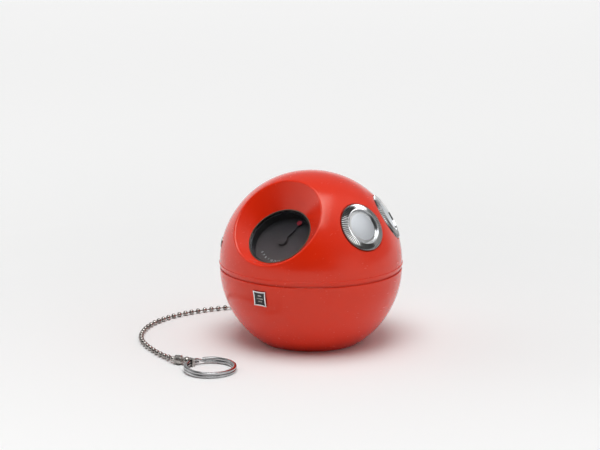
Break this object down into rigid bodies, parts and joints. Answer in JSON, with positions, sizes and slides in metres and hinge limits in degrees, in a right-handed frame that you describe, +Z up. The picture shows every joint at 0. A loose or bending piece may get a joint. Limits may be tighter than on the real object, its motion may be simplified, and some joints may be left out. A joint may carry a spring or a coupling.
{
  "type": "ball-shaped portable radio",
  "caption": "Ball-shaped portable radio with a scooped dial, two ribbed knobs on its shoulder, a rear speaker grille, and a ball chain with a split ring.",
  "frame": {"origin": "middle of the flat base, on the surface that the radio stands on", "axes": "+Z up through the ball's centre; -Y is the front, with the dial scoop and the badge; the knobs are on the +X shoulder"},
  "size_m": [0.1539, 0.1588, 0.1026],
  "materials": {
    "red_shell": "polished orange-red moulded plastic",
    "smoked_lens": "polished smoked acrylic",
    "dial_face": "matt black with fine white figures",
    "black_plastic": "matt moulded black",
    "signal_red": "painted red dot",
    "chrome_trim": "bright chrome plate",
    "satin_disc": "spun satin aluminium",
    "thin_ring": "thin dull gold edge",
    "badge_black": "black enamel",
    "nickel_chain": "nickel-plated steel, worn",
    "steel": "plain steel",
    "brass_parts": "turned brass",
    "white_plastic": "natural nylon",
    "cord_fibre": "braided cord",
    "paper_cone": "black pulp paper",
    "grille_cloth": "fine black cloth",
    "board_laminate": "brown phenolic laminate",
    "tinned_can": "drawn aluminium cans",
    "epoxy_black": "moulded black epoxy",
    "capacitor_sleeve": "blue shrink sleeve",
    "resistor_body": "tan lacquer with colour bands",
    "iron_core": "laminated core and taped winding",
    "ferrite": "dark grey ferrite",
    "copper_wire": "enamelled copper winding",
    "battery_jacket": "plain printed jacket, no lettering",
    "lead_red": "red insulation",
    "lead_black": "black insulation"
  },
  "bodies": {
    "lower_half": {"lower_shell": "red_shell", "badge_frame": "chrome_trim", "badge_plate": "badge_black", "chain_anchor": "nickel_chain", "ball_chain": "nickel_chain", "chain_connector": "nickel_chain"},
    "upper_half": {"upper_shell": "red_shell", "dial_ring": "thin_ring", "dial_lens": "smoked_lens", "dial_housing": "black_plastic", "dial_plate": "dial_face", "drum_bearing": "steel", "dial_cord": "cord_fibre", "cord_guides": "brass_parts", "tuning_capacitor": "white_plastic", "volume_control": "tinned_can", "speaker_basket": "steel", "speaker_cone": "paper_cone", "speaker_magnet": "steel", "grille_cloth": "grille_cloth", "earphone_jack": "black_plastic", "jack_nut": "steel", "circuit_board": "board_laminate", "board_screws": "steel", "if_transformers": "tinned_can", "transistors": "epoxy_black", "electrolytic_capacitors": "capacitor_sleeve", "resistors": "resistor_body", "output_transformer": "iron_core", "ferrite_rod": "ferrite", "antenna_coil": "copper_wire", "rod_holders": "white_plastic", "battery": "battery_jacket", "battery_snap": "black_plastic", "battery_lead_red": "lead_red", "battery_lead_black": "lead_black", "battery_tray": "black_plastic"},
    "tuning_control": {"tuning_knob": "chrome_trim", "tuning_knob_cap": "satin_disc", "tuning_spindle": "brass_parts", "tuning_pulley": "white_plastic"},
    "dial_indicator": {"dial_pointer": "black_plastic", "pointer_dot": "signal_red", "dial_drum": "white_plastic"},
    "volume_switch": {"volume_knob": "chrome_trim", "volume_knob_cap": "satin_disc", "volume_spindle": "brass_parts"},
    "key_ring": {"swivel_ball": "nickel_chain", "split_ring": "nickel_chain"}
  },
  "joints": [
    {"name": "upper_lift", "type": "slide", "parent": "lower_half", "child": "upper_half", "axis": [0, 0, 1], "range_m": [0, 0.05]},
    {"name": "tuning_turn", "type": "hinge", "parent": "upper_half", "child": "tuning_control", "pos_m": [0.04064, -0.01227, 0.07399], "axis": [0.8127, -0.2454, 0.5284], "range_deg": [0, 180]},
    {"name": "dial_turn", "type": "hinge", "parent": "upper_half", "child": "dial_indicator", "pos_m": [0, -0.034, 0.06917], "axis": [0, -0.6756, 0.7373], "range_deg": [0, 208.8]},
    {"name": "volume_turn", "type": "hinge", "parent": "upper_half", "child": "volume_switch", "pos_m": [0.03745, 0.02008, 0.07392], "axis": [0.749, 0.4016, 0.527], "range_deg": [-300, 0]},
    {"name": "ring_swivel", "type": "hinge", "parent": "lower_half", "child": "key_ring", "pos_m": [-0.0362, -0.089, 0.0027], "axis": [0.9848, 0.1736, 0], "continuous": true}
  ],
  "couplings": [
    {"joint": "dial_turn", "follows": "tuning_turn", "ratio": 1.16}
  ]
}
